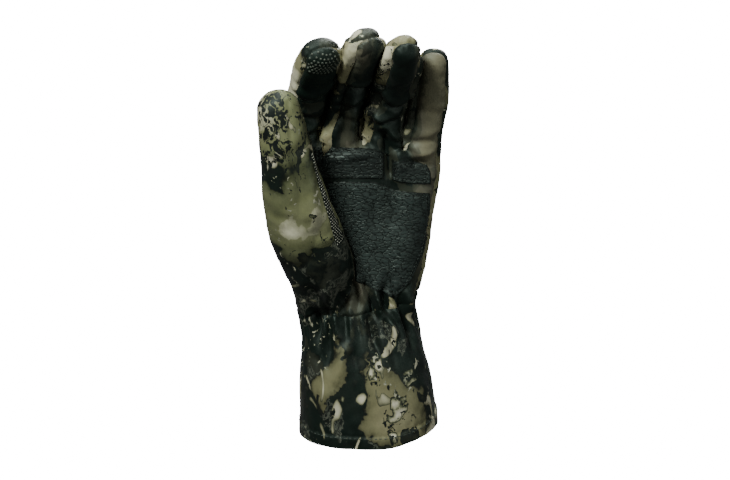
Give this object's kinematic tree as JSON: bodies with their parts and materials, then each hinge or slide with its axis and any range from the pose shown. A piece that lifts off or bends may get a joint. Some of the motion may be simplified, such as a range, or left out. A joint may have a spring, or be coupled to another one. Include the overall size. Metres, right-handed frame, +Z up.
{
  "type": "windproof glove",
  "caption": "Left winter gauntlet glove in worn form: padded camouflage cloth, gathered wrist, flared cuff, grained palm patch, grip dots on index tip and thumb.",
  "frame": {"origin": "centre of the cuff's mouth, where the wearer's forearm leaves", "axes": "+Z up the cuff towards the fingers, +X to the little finger's side, -Y out of the palm, towards the side that the fingers curl to"},
  "size_m": [0.1227, 0.1038, 0.2832],
  "materials": {
    "camouflage_cloth": "matte brushed softshell with an olive and tan blotch pattern",
    "palm_cloth": "matte dark brown and charcoal blotched cloth",
    "side_cloth": "matte light olive blotched cloth",
    "patch_leather": "dark crackle-grained synthetic leather, low sheen",
    "tip_cloth": "smooth plain black-green cloth with grey rubber dots",
    "grip_print": "matte dotted grip print"
  },
  "bodies": {
    "root": {"back_panel": "camouflage_cloth", "palm_panel": "palm_cloth", "thumb": "camouflage_cloth", "fourchette_index_middle": "side_cloth", "fourchette_middle_ring": "side_cloth", "fourchette_ring_little": "side_cloth", "cuff": "camouflage_cloth", "palm_patch": "patch_leather", "band_index_middle": "patch_leather", "band_ring_little": "patch_leather", "index_tip_patch": "tip_cloth", "thumb_grip_strip": "grip_print"}
  },
  "joints": []
}
